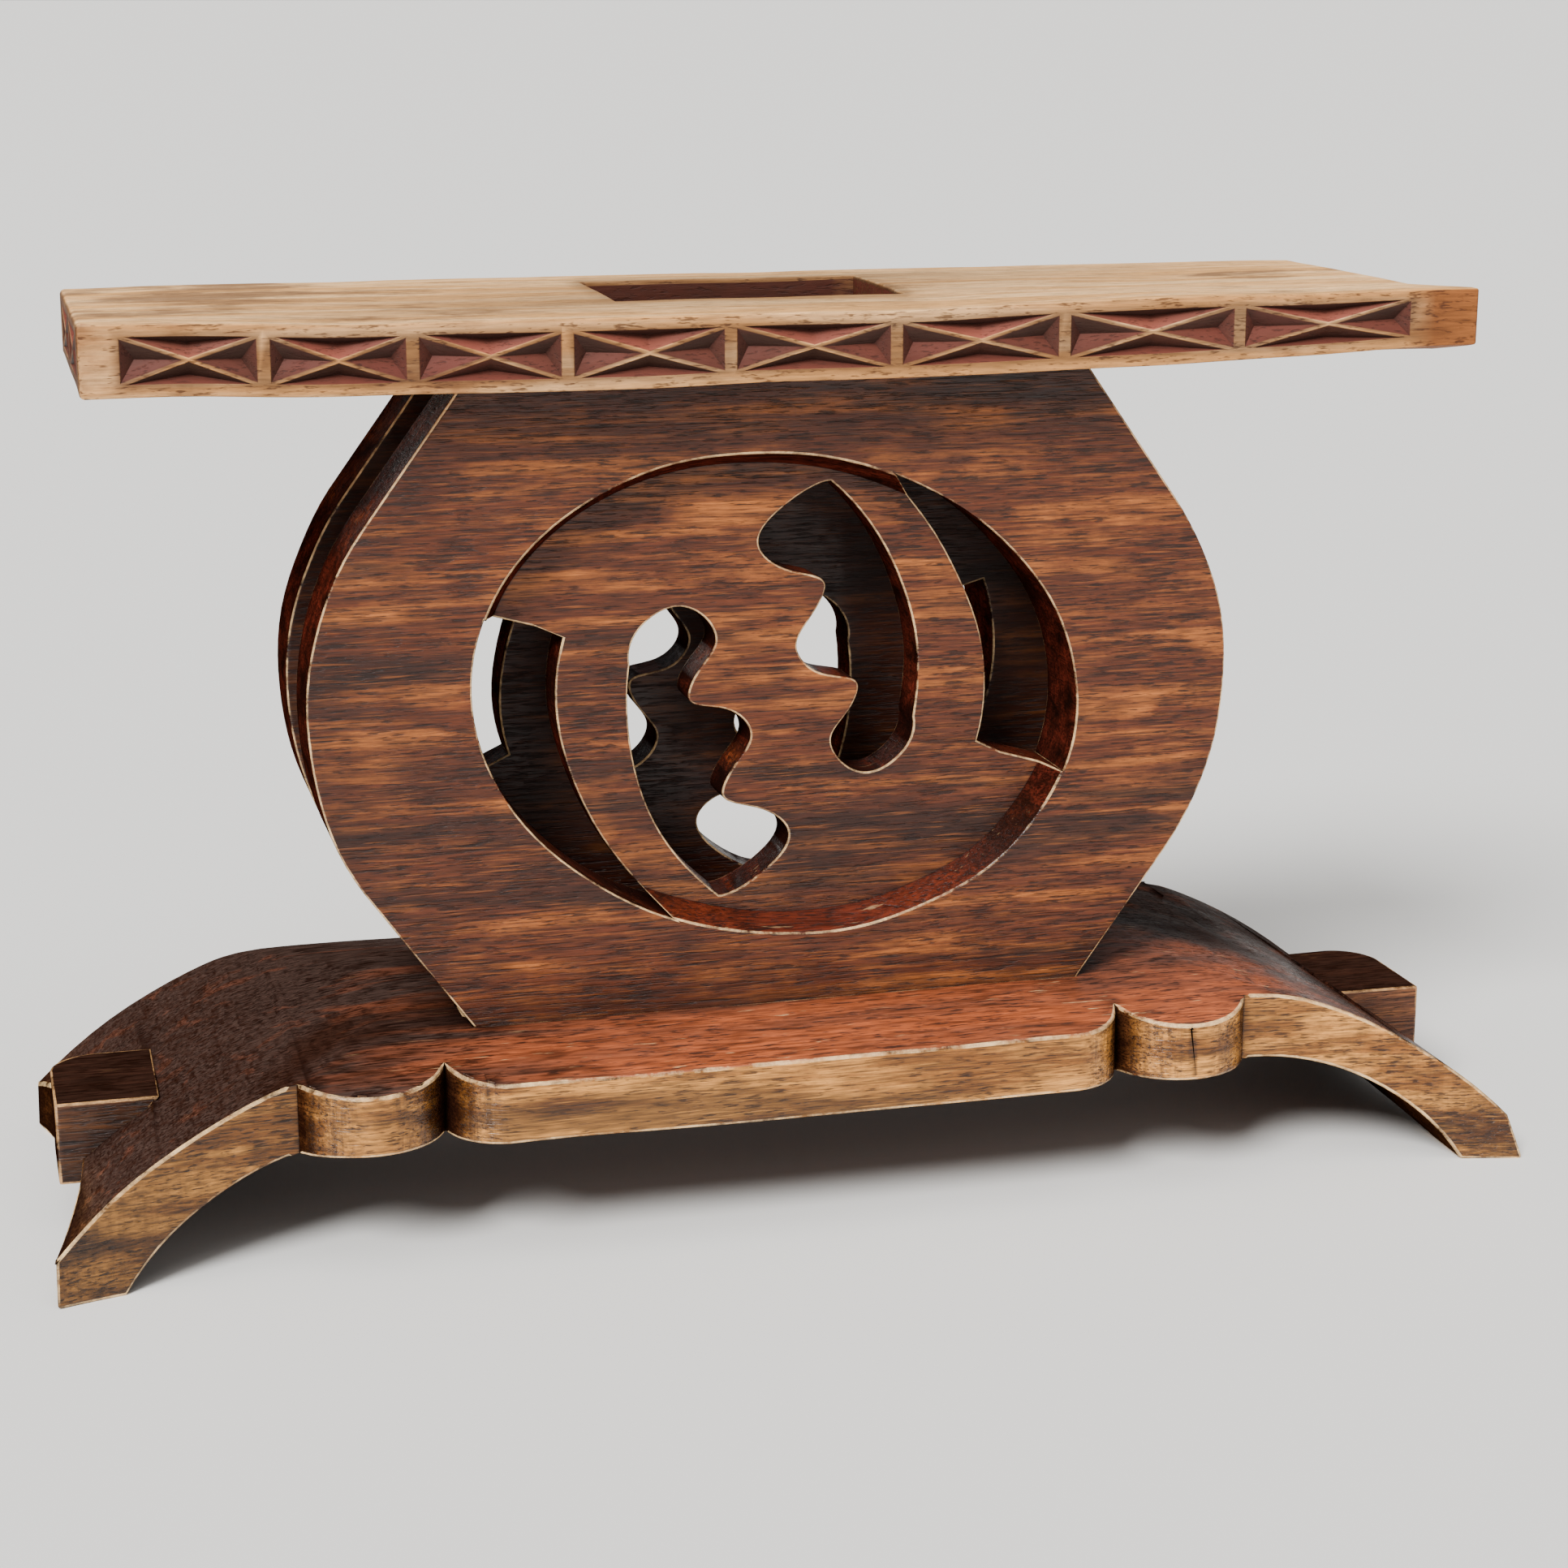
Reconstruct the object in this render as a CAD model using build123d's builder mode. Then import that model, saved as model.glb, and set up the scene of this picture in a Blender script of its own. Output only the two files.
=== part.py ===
# Carved wooden headrest: a slotted top board on two openwork disc panels that stand on an arched,
# scalloped base with a lug at each end. Millimetres, +Z up, X along the board, carved front at -Y.
# The origin is on the ground, under the middle of the whole piece.
import os
from math import asin, degrees, sqrt

from build123d import *

# Driving dimensions
board_length = 400.0
board_depth = 108.0
board_thickness = 19.0
right_end_x = 188.0
right_lip_y = -50.0
right_lip_foot_y = -34.0
total_height = 264.5

panel_thickness = 25.0
panel_gap = 25.0
panel_centre_x = -6.0
panel_half_width = 137.0
panel_side_radius = 93.0
panel_side_rise = 54.0
panel_end_half_width = 90.0
panel_foot_z = 55.5

ring_half_length = 90.5
ring_half_height = 70.5
ring_tilt = -11.0
recess_depth = 10.0
recess_draft = 4.0
rim_step = 0.3
back_carving_shift = (9.0, -5.0)

slot_length = 84.0
slot_width = 52.0
slot_centre = (-7.0, 7.0)

foot_tip_x = 220.5
foot_inner_x = 201.5
base_half_depth = 74.0
crown_height = 61.0
crown_radius = 340.0
arch_radius = 162.0
arch_flat_left = 106.0
arch_flat_right = 101.0
arch_tip_z = 14.0
under_height = 35.5
under_radius = 80.0
end_hollow = 11.5
sole_relief_height = 5.0
sole_relief_half_width = 50.0

scallop_centre_x = -10.0
inner_notch = 100.5
outer_notch = 141.5
inner_notch_y = -58.0
outer_notch_y = -60.0
scallop_shoulder = 20.0
shoulder_bow = 0.3
shoulder_fullness = 0.72
arm_fullness = 0.35

block_top_z = 40.0
block_front_y = -21.0
block_back_y = 22.0
block_corner_radius = 14.0
left_block_end_x = -217.0
left_seat = ((-187.0, block_top_z), (-211.0, 15.5))
right_block_end_x = 209.0
right_seat = ((181.0, block_top_z), (206.0, 17.0))

dowel_diameter = 9.0
dowel_spacing = 124.0
dowel_in_board = 12.0
dowel_in_panel_top = 18.0
dowel_in_panel_foot = 15.0
dowel_in_base = 14.0
block_dowel_diameter = 8.0
block_dowel_spacing = 22.0
block_dowel_depth = 8.0

field_widths = (39, 39.5, 42, 45.5, 47.5, 49.5, 53, 55)
field_start_x = -191.0
field_height = 12.5
field_border = 1.6
field_top_z = total_height - 3.2
field_depth = 3.2
side_pit_inset = 4.0
long_pit_inset = 2.0
ridge_half_width = 0.35
end_field_count = 2
left_field_width = 46.0
right_field_width = 42.0
right_field_middle = 10.0

# Places that follow from them
board_under_z = total_height - board_thickness
panel_centre_z = (panel_foot_z + board_under_z) / 2
panel_half_height = (board_under_z - panel_foot_z) / 2
panel_face_y = panel_gap / 2 + panel_thickness
field_centre_z = field_top_z - field_height / 2

front_face = Plane((panel_centre_x, -panel_face_y, panel_centre_z), x_dir=(1, 0, 0), z_dir=(0, -1, 0))
back_face = Plane((panel_centre_x, panel_face_y, panel_centre_z), x_dir=(-1, 0, 0), z_dir=(0, 1, 0))
back_carving = Plane(
    back_face.from_local_coords((*back_carving_shift, 0)), x_dir=(-1, 0, 0), z_dir=(0, 1, 0),
)


# --- Carved disc panels -----------------------------------------------------------------------------
# A barrel-sided disc with a sunk oval. The curled figure left standing in the oval has two open
# crescents beside it and two comb-shaped openings in it, and looks the same turned half round.
def comb_outline():
    """The comb-shaped opening: three scallops on the inner side and a long curve on the outer."""
    with BuildLine() as outline:
        scallops = Spline(
            (17, 61), (2, 53.5), (-4.5, 43.5), (4, 35.5), (15.5, 31), (12, 22), (7, 13),
            (14, 4.7), (25.5, 1), (23, -7), (17.5, -16), (26, -26), (37, -23), (42.8, -10),
        )
        ThreePointArc(scallops @ 1, (41.2, 23), scallops @ 0)
    return outline.line


def crescent_region():
    """The side of the oval that the figure leaves open, run out past the rim."""
    with BuildLine() as outline:
        figure_edge = Spline((28, 69), (53, 38), (64.5, 5), (62.5, -19))
        Polyline(figure_edge @ 1, (70, -22.5), (100, -31), (100, 90), figure_edge @ 0)
    return outline.line


def carved_panel(face, carving):
    """One disc panel with its outer side on the plane `face`, carved around the plane `carving`."""
    side_angle = degrees(asin(panel_side_rise / panel_side_radius))
    side_centre = panel_half_width - panel_side_radius
    with BuildPart() as panel:
        with BuildSketch(face):
            with BuildLine():
                right = CenterArc((side_centre, 0), panel_side_radius, -side_angle, 2 * side_angle)
                left = CenterArc((-side_centre, 0), panel_side_radius, 180 - side_angle, 2 * side_angle)
                Polyline(
                    right @ 1, (panel_end_half_width, panel_half_height),
                    (-panel_end_half_width, panel_half_height), left @ 0,
                )
                Polyline(
                    left @ 1, (-panel_end_half_width, -panel_half_height),
                    (panel_end_half_width, -panel_half_height), right @ 0,
                )
            make_face()
        extrude(amount=-panel_thickness)
        with BuildSketch(carving):
            Ellipse(ring_half_length, ring_half_height, rotation=ring_tilt)
        with BuildSketch(carving.offset(-recess_depth)):
            Ellipse(ring_half_length - recess_draft, ring_half_height - recess_draft, rotation=ring_tilt)
        loft(mode=Mode.SUBTRACT)
        for turn in (0, 180):
            with BuildSketch(carving):
                add(make_face(crescent_region(), mode=Mode.PRIVATE), rotation=turn)
                Ellipse(
                    ring_half_length + rim_step, ring_half_height + rim_step,
                    rotation=ring_tilt, mode=Mode.INTERSECT,
                )
            extrude(amount=-panel_thickness, mode=Mode.SUBTRACT)
            with BuildSketch(carving):
                add(make_face(comb_outline(), mode=Mode.PRIVATE), rotation=turn)
            extrude(amount=-panel_thickness, mode=Mode.SUBTRACT)
        middle = face.offset(-panel_thickness / 2)
        for end, depth in ((1, dowel_in_panel_top), (-1, dowel_in_panel_foot)):
            level = Plane(middle.from_local_coords((0, end * panel_half_height, 0)), z_dir=(0, 0, -end))
            with BuildSketch(level):
                with GridLocations(dowel_spacing, 0, 2, 1):
                    Circle(dowel_diameter / 2)
            extrude(amount=depth, mode=Mode.SUBTRACT)
    return panel


front_panel = carved_panel(front_face, front_face)
front_panel.part.label = "front_panel"

back_panel = carved_panel(back_face, back_carving)
back_panel.part.label = "back_panel"


# --- Top board --------------------------------------------------------------------------------------
# A flat board with a finger slot over the gap between the panels. Its long edges and its ends carry
# a row of chip-carved fields, each cut as four pits that leave a standing cross. The right end is cut
# back behind a short lip at its front corner.
def pit(edge_plane, corners, deepest):
    """A three-sided chip cut out of an edge, from its outline and its deepest point."""
    with BuildSketch(edge_plane, mode=Mode.PRIVATE) as outline:
        with BuildLine():
            Polyline(*corners, close=True)
        make_face()
    bottom = Vertex(*edge_plane.from_local_coords((*deepest, -field_depth)))
    loft([outline.sketch.face(), bottom], mode=Mode.SUBTRACT)


def carved_field(edge_plane, centre, width):
    """Four pits around a cross, inside a field whose middle is `centre` on the edge plane."""
    x, z = centre
    half_width = width / 2 - field_border
    half_height = field_height / 2
    gap_x = ridge_half_width * half_width / half_height
    gap_z = ridge_half_width
    for side in (-1, 1):
        end_x = x + side * half_width
        pit(
            edge_plane,
            [(x + side * gap_x, z), (end_x, z + half_height - gap_z), (end_x, z - half_height + gap_z)],
            (end_x - side * side_pit_inset, z),
        )
        top_z = z + side * half_height
        pit(
            edge_plane,
            [(x, z + side * gap_z), (x + half_width - gap_x, top_z), (x - half_width + gap_x, top_z)],
            (x, top_z - side * long_pit_inset),
        )


with BuildPart() as top_board:
    with BuildSketch(Plane.XY.offset(board_under_z)):
        with BuildLine():
            Polyline(
                (-board_length / 2, board_depth / 2), (-board_length / 2, -board_depth / 2),
                (board_length / 2, -board_depth / 2), (board_length / 2, right_lip_y),
                (right_end_x, right_lip_foot_y), (right_end_x, board_depth / 2), close=True,
            )
        make_face()
        with Locations(slot_centre):
            Rectangle(slot_length, slot_width, mode=Mode.SUBTRACT)
    extrude(amount=board_thickness)
    long_edges = (
        Plane((0, -board_depth / 2, 0), x_dir=(1, 0, 0), z_dir=(0, -1, 0)),
        Plane((0, board_depth / 2, 0), x_dir=(1, 0, 0), z_dir=(0, 1, 0)),
    )
    for edge_plane in long_edges:
        height = field_centre_z * edge_plane.y_dir.Z
        start = field_start_x
        for width in field_widths:
            carved_field(edge_plane, (start + width / 2, height), width)
            start += width
    board_ends = (
        (-1, -board_length / 2, 0, left_field_width),
        (1, right_end_x, right_field_middle, right_field_width),
    )
    for side, end_x, middle_y, width in board_ends:
        end_plane = Plane((end_x, 0, 0), x_dir=(0, 1, 0), z_dir=(side, 0, 0))
        for column in range(end_field_count):
            offset = middle_y + (column - (end_field_count - 1) / 2) * width
            carved_field(end_plane, (offset, field_centre_z * end_plane.y_dir.Z), width)
    with BuildSketch(Plane.XY.offset(board_under_z)):
        with Locations((panel_centre_x, 0)):
            with GridLocations(dowel_spacing, panel_gap + panel_thickness, 2, 2):
                Circle(dowel_diameter / 2)
    extrude(amount=dowel_in_board, mode=Mode.SUBTRACT)
top_board.part.label = "top_board"


# --- Arched base ------------------------------------------------------------------------------------
# A thick board bent down to a tip at each corner, crowned across its top, hollowed at both ends and
# scalloped along the front edge. The panels are housed in its top, and each lug has a sloping seat.
def arch_drop(run, radius):
    """How far an arc of this radius falls below its highest point over a horizontal run."""
    return radius - sqrt(radius**2 - run**2)


def arch_run(drop, radius):
    """The horizontal run over which an arc of this radius falls by `drop`."""
    return sqrt(radius**2 - (radius - drop) ** 2)


def part_way(start, end, share):
    """The value that lies this share of the way from start to end."""
    return start + share * (end - start)


def seat_plane(side, seat):
    """The plane of a lug's seat, centred on it and looking out of the base."""
    (high_x, high_z), (low_x, low_z) = seat
    slope = Vector(low_x - high_x, 0, low_z - high_z).normalized()
    middle = ((high_x + low_x) / 2, (block_front_y + block_back_y) / 2, (high_z + low_z) / 2)
    return Plane(middle, x_dir=slope, z_dir=slope.cross(Vector(0, side, 0)))


under_run = arch_run(under_height, under_radius)
under_flat = foot_inner_x - under_run
shoulder_run = arch_run(crown_height - arch_tip_z, arch_radius)

with BuildPart() as arched_base:
    with BuildSketch(Plane.XZ):
        with BuildLine():
            Line((-arch_flat_left, crown_height), (arch_flat_right, crown_height))
            Line((-under_flat, under_height), (under_flat, under_height))
            for side, flat in ((-1, arch_flat_left), (1, arch_flat_right)):
                outer_run = shoulder_run / 2
                ThreePointArc(
                    (side * flat, crown_height),
                    (side * (flat + outer_run), crown_height - arch_drop(outer_run, arch_radius)),
                    (side * (flat + shoulder_run), arch_tip_z),
                )
                Polyline(
                    (side * (flat + shoulder_run), arch_tip_z),
                    (side * foot_tip_x, 0), (side * foot_inner_x, 0),
                )
                inner_run = under_run / 2
                ThreePointArc(
                    (side * foot_inner_x, 0),
                    (side * (under_flat + inner_run), under_height - arch_drop(inner_run, under_radius)),
                    (side * under_flat, under_height),
                )
        make_face()
    extrude(amount=base_half_depth, both=True)
    # The crown: the top falls away to the front and back edges.
    with BuildSketch(Plane.YZ):
        with Locations((0, crown_height - crown_radius)):
            Circle(crown_radius)
        Rectangle(2 * base_half_depth, 2 * crown_radius, mode=Mode.INTERSECT)
    extrude(amount=foot_tip_x, both=True, mode=Mode.INTERSECT)
    # The outline from above: scalloped front, plain back and hollowed ends.
    with BuildSketch(Plane.XY):
        with BuildLine():
            lobe_middle = (inner_notch + outer_notch) / 2
            for side in (-1, 1):
                inner_x = scallop_centre_x + side * inner_notch
                outer_x = scallop_centre_x + side * outer_notch
                shoulder_x = inner_x - side * scallop_shoulder
                arm_x = (outer_x + side * foot_tip_x) / 2
                ThreePointArc(
                    (inner_x, inner_notch_y),
                    (
                        part_way(inner_x, shoulder_x, shoulder_bow),
                        part_way(inner_notch_y, -base_half_depth, shoulder_fullness),
                    ),
                    (shoulder_x, -base_half_depth),
                )
                ThreePointArc(
                    (inner_x, inner_notch_y),
                    (scallop_centre_x + side * lobe_middle, -base_half_depth),
                    (outer_x, outer_notch_y),
                )
                ThreePointArc(
                    (outer_x, outer_notch_y),
                    (arm_x, part_way(outer_notch_y, -base_half_depth, arm_fullness)),
                    (side * foot_tip_x, -base_half_depth),
                )
                ThreePointArc(
                    (side * foot_tip_x, -base_half_depth), (side * (foot_tip_x - end_hollow), 0),
                    (side * foot_tip_x, base_half_depth),
                )
            straight = inner_notch - scallop_shoulder
            Line(
                (scallop_centre_x - straight, -base_half_depth),
                (scallop_centre_x + straight, -base_half_depth),
            )
            Line((-foot_tip_x, base_half_depth), (foot_tip_x, base_half_depth))
        make_face()
    extrude(amount=crown_height, mode=Mode.INTERSECT)
    # The soles are relieved in the middle, so it stands on its four corners.
    with BuildSketch(Plane.YZ):
        with BuildLine():
            ThreePointArc(
                (-sole_relief_half_width, 0), (0, sole_relief_height), (sole_relief_half_width, 0),
            )
            Line((-sole_relief_half_width, 0), (sole_relief_half_width, 0))
        make_face()
    extrude(amount=foot_tip_x, both=True, mode=Mode.SUBTRACT)
    # Housings cut to the feet of the two panels, with their dowel holes below.
    add(front_panel.part, mode=Mode.SUBTRACT)
    add(back_panel.part, mode=Mode.SUBTRACT)
    with BuildSketch(Plane.XY.offset(panel_foot_z - dowel_in_base)):
        with Locations((panel_centre_x, 0)):
            with GridLocations(dowel_spacing, panel_gap + panel_thickness, 2, 2):
                Circle(dowel_diameter / 2)
    extrude(amount=crown_height, mode=Mode.SUBTRACT)
    # A flat sloping seat at each end, let into the arch, with two dowel holes square to it.
    for side, seat in ((-1, left_seat), (1, right_seat)):
        with BuildSketch(Plane.XZ.offset(-block_back_y)):
            with BuildLine():
                Polyline(*seat, (side * foot_tip_x, seat[1][1]), (side * foot_tip_x, crown_height),
                         (seat[0][0], crown_height), close=True)
            make_face()
        extrude(amount=block_back_y - block_front_y, mode=Mode.SUBTRACT)
        with BuildSketch(seat_plane(side, seat)):
            with GridLocations(0, block_dowel_spacing, 1, 2):
                Circle(block_dowel_diameter / 2)
        extrude(amount=-block_dowel_depth, mode=Mode.SUBTRACT)
arched_base.part.label = "arched_base"


# --- End lugs ---------------------------------------------------------------------------------------
# A flat-topped block on the sloping seat at each end, with its outer back corner rounded.
def end_block(side, seat, end_x):
    """One lug: a wedge from the seat up to its flat top and out to its upright end."""
    (seat_x, seat_z), (low_x, low_z) = seat
    with BuildPart() as block:
        with BuildSketch(Plane.XZ.offset(-block_back_y)):
            with BuildLine():
                Polyline((seat_x, seat_z), (low_x, low_z), (end_x, low_z), (end_x, block_top_z), close=True)
            make_face()
        extrude(amount=block_back_y - block_front_y)
        outer_corner = block.edges().filter_by(Axis.Z).sort_by(Axis.Y)[-1]
        fillet(outer_corner, block_corner_radius)
        with BuildSketch(seat_plane(side, seat)):
            with GridLocations(0, block_dowel_spacing, 1, 2):
                Circle(block_dowel_diameter / 2)
        extrude(amount=block_dowel_depth, mode=Mode.SUBTRACT)
    return block


left_end_block = end_block(-1, left_seat, left_block_end_x)
left_end_block.part.label = "left_end_block"

right_end_block = end_block(1, right_seat, right_block_end_x)
right_end_block.part.label = "right_end_block"


# --- Dowels -----------------------------------------------------------------------------------------
# Round pegs: a pair at the head and the foot of each panel, and a pair under each lug.
def panel_dowels(panel_y, bottom_z, length):
    """The pair of pegs that stands in one panel's middle plane."""
    with BuildPart() as dowels:
        with BuildSketch(Plane.XY.offset(bottom_z)):
            with Locations((panel_centre_x, panel_y)):
                with GridLocations(dowel_spacing, 0, 2, 1):
                    Circle(dowel_diameter / 2)
        extrude(amount=length)
    return dowels


def block_dowels(side, seat):
    """The pair of pegs that holds one lug, square to its seat."""
    with BuildPart() as dowels:
        with BuildSketch(seat_plane(side, seat).offset(-block_dowel_depth)):
            with GridLocations(0, block_dowel_spacing, 1, 2):
                Circle(block_dowel_diameter / 2)
        extrude(amount=2 * block_dowel_depth)
    return dowels


panel_middle_y = (panel_gap + panel_thickness) / 2
head_z = board_under_z - dowel_in_panel_top
head_length = dowel_in_panel_top + dowel_in_board
foot_z = panel_foot_z - dowel_in_base
foot_length = dowel_in_base + dowel_in_panel_foot

front_panel_head_dowels = panel_dowels(-panel_middle_y, head_z, head_length)
front_panel_head_dowels.part.label = "front_panel_head_dowels"

front_panel_foot_dowels = panel_dowels(-panel_middle_y, foot_z, foot_length)
front_panel_foot_dowels.part.label = "front_panel_foot_dowels"

back_panel_head_dowels = panel_dowels(panel_middle_y, head_z, head_length)
back_panel_head_dowels.part.label = "back_panel_head_dowels"

back_panel_foot_dowels = panel_dowels(panel_middle_y, foot_z, foot_length)
back_panel_foot_dowels.part.label = "back_panel_foot_dowels"

left_block_dowels = block_dowels(-1, left_seat)
left_block_dowels.part.label = "left_block_dowels"

right_block_dowels = block_dowels(1, right_seat)
right_block_dowels.part.label = "right_block_dowels"

os.makedirs("parts", exist_ok=True)
export_step(top_board.part, "parts/top_board.step")
export_step(front_panel.part, "parts/front_panel.step")
export_step(back_panel.part, "parts/back_panel.step")
export_step(arched_base.part, "parts/arched_base.step")
export_step(left_end_block.part, "parts/left_end_block.step")
export_step(right_end_block.part, "parts/right_end_block.step")
export_step(front_panel_head_dowels.part, "parts/front_panel_head_dowels.step")
export_step(front_panel_foot_dowels.part, "parts/front_panel_foot_dowels.step")
export_step(back_panel_head_dowels.part, "parts/back_panel_head_dowels.step")
export_step(back_panel_foot_dowels.part, "parts/back_panel_foot_dowels.step")
export_step(left_block_dowels.part, "parts/left_block_dowels.step")
export_step(right_block_dowels.part, "parts/right_block_dowels.step")
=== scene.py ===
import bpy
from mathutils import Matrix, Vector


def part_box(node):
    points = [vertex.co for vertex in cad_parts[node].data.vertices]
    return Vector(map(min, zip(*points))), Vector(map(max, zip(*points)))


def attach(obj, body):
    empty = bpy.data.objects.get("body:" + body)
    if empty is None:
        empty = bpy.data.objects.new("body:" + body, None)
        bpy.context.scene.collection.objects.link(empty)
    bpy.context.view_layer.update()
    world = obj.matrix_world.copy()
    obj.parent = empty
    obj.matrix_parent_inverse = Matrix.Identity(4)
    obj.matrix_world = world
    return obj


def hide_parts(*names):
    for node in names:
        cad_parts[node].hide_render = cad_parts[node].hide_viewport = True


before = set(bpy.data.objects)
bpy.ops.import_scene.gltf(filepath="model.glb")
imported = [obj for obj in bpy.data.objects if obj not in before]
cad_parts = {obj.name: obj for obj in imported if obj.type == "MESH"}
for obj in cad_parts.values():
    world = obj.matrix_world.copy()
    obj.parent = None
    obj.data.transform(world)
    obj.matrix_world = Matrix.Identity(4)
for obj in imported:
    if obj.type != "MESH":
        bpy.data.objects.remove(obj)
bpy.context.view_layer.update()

from math import cos, radians, sin, sqrt

import bmesh
import bpy
from mathutils import Vector, noise


# --- Arched base ------------------------------------------------------------------------------------
# The thick board that the headrest stands on: cut from one plank, hollowed below into an arch, and
# scalloped along its front with a knife and gouge. It was stained red brown, waxed and rubbed, so the
# front has gone golden, the arrises are bare and the stain is still dark where hands don't reach; its
# inner corners and the top behind the panels are also darkened with painted shade.
# The angles tell a smooth area, a deep corner and a crease apart. All sizes are in metres.
smooth_turn = radians(26)
notch_turn = radians(50)
crease_turn = radians(38)
hand_waver = 0.0006
base_half_length = 0.2205
crown_height = 0.061
crown_radius = 0.340
arch_radius = 0.162
arch_reach = 0.114
arch_flats = (0.106, 0.101)
shoulder_blend = 0.0035
foot_level = 0.016
skin_depth = 0.0011
on_surface = 0.00015
noise.seed_set(7)


def rub_arrises(bm, edges, width, segments):
    """Rounds sharp edges as wear does, and notes the new faces in the arris layer."""
    arris = bm.faces.layers.int.get("arris") or bm.faces.layers.int.new("arris")
    edges = list(edges)
    made = bmesh.ops.bevel(
        bm, geom=edges, offset=width, offset_type="OFFSET", segments=segments, profile=0.5,
        affect="EDGES", material=-1, clamp_overlap=False, loop_slide=True,
    )
    for face in made["faces"]:
        face[arris] = 1


def add_rims(bm, width, least_area):
    """Insets every smooth area a little, so that wear and the painted shade of inner corners fade out close
    to its border.
    """
    arris = bm.faces.layers.int.get("arris") or bm.faces.layers.int.new("arris")
    left = dict.fromkeys(face for face in bm.faces if not face[arris])
    areas = []
    while left:
        area = [left.popitem()[0]]
        for face in area:
            for edge in face.edges:
                if len(edge.link_faces) == 2 and edge.calc_face_angle() < smooth_turn:
                    for beside in edge.link_faces:
                        if beside in left:
                            del left[beside]
                            area.append(beside)
        areas.append(area)
    for area in areas:
        if sum(face.calc_area() for face in area) > least_area:
            bmesh.ops.inset_region(bm, faces=area, thickness=width, depth=0, use_boundary=True)


def note_wear(bm):
    """Writes how worn each place is, and where shade is painted: rub is 1 at an arris, lee is 1 in an
    inner corner, where the materials paint shade, and bare is 1 all over an arris."""
    arris = bm.faces.layers.int.get("arris")
    bare = bm.faces.layers.float.new("bare")
    for face in bm.faces:
        face[bare] = float(face[arris])
    rub = bm.verts.layers.float.new("rub")
    lee = bm.verts.layers.float.new("lee")
    for vert in bm.verts:
        vert[rub] = float(any(face[arris] for face in vert.link_faces))
        vert[lee] = float(any(
            edge.calc_face_angle_signed(0) < -smooth_turn for edge in vert.link_edges
        ))


def cut_across(bm, axis, low, high, step):
    """Divides the faces at even steps along one axis, so that a long piece can bend."""
    place = low + step
    while place < high:
        point = Vector((0, 0, 0))
        point[axis] = place
        normal = Vector((0, 0, 0))
        normal[axis] = 1
        bmesh.ops.bisect_plane(
            bm, geom=bm.verts[:] + bm.edges[:] + bm.faces[:], dist=0.00002, plane_co=point, plane_no=normal,
        )
        place += step


def waver(bm, reach, spacing, inside):
    """Moves every vertex a little, smoothly over the whole object, and keeps it in the piece's box."""
    low, high = inside
    for vert in bm.verts:
        shift = noise.noise_vector(vert.co / spacing)
        vert.co += Vector((shift.x * reach[0], shift.y * reach[1], shift.z * reach[2]))
        for axis in range(3):
            vert.co[axis] = min(max(vert.co[axis], low[axis]), high[axis])


def merged_copy(node_name):
    """A CAD node's shape as one joined skin, with its flat faces whole."""
    bm = bmesh.new()
    bm.from_mesh(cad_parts[node_name].data)
    bmesh.ops.remove_doubles(bm, verts=bm.verts, dist=0.00001)
    bmesh.ops.dissolve_limit(bm, angle_limit=radians(0.8), verts=bm.verts, edges=bm.edges)
    return bm


def sharp_edges(bm):
    """The outward edges that turn too sharply to be part of a smooth area."""
    return [
        edge for edge in bm.edges
        if len(edge.link_faces) == 2 and edge.calc_face_angle_signed(0) > smooth_turn
    ]


def clear_of_notches(edges):
    """Leaves out the edges that run into a deep inner corner, where rounding would fold over."""
    return [
        edge for edge in edges
        if all(
            beside.calc_face_angle_signed(0) > -notch_turn
            for vert in edge.verts for beside in vert.link_edges
        )
    ]


def finished_piece(bm, name, node_name, material):
    """Makes the object, smooth except in its sharp inner corners, and stands it for its CAD node."""
    for face in bm.faces:
        face.smooth = True
    for edge in bm.edges:
        edge.smooth = len(edge.link_faces) == 2 and edge.calc_face_angle(0) < crease_turn
    mesh = bpy.data.meshes.new(name)
    bm.to_mesh(mesh)
    bm.free()
    mesh.materials.clear()
    mesh.materials.append(material)
    piece = bpy.data.objects.new(name, mesh)
    bpy.context.scene.collection.objects.link(piece)
    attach(piece, "root")
    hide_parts(node_name)


def linear(hex_colour):
    """An sRGB hex colour as linear red, green, blue and alpha."""
    parts = [int(hex_colour[i:i + 2], 16) / 255 for i in (1, 3, 5)]
    return (*[c / 12.92 if c <= 0.04045 else ((c + 0.055) / 1.055) ** 2.4 for c in parts], 1.0)


def node(tree, kind, links, output=0, **settings):
    """Adds a node with its settings, feeds its sockets, and gives back one of its outputs."""
    made = tree.nodes.new("ShaderNode" + kind)
    for setting, value in settings.items():
        setattr(made, setting, value)
    for socket, source in links.items():
        if isinstance(source, bpy.types.NodeSocket):
            tree.links.new(source, made.inputs[socket])
        else:
            made.inputs[socket].default_value = source
    return made.outputs[output] if made.outputs else made


def per_metre(x_mm, y_mm, z_mm):
    """Noise scale for a pattern whose cells are about this many millimetres along each axis."""
    return (1000 / x_mm, 1000 / y_mm, 1000 / z_mm)


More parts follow.
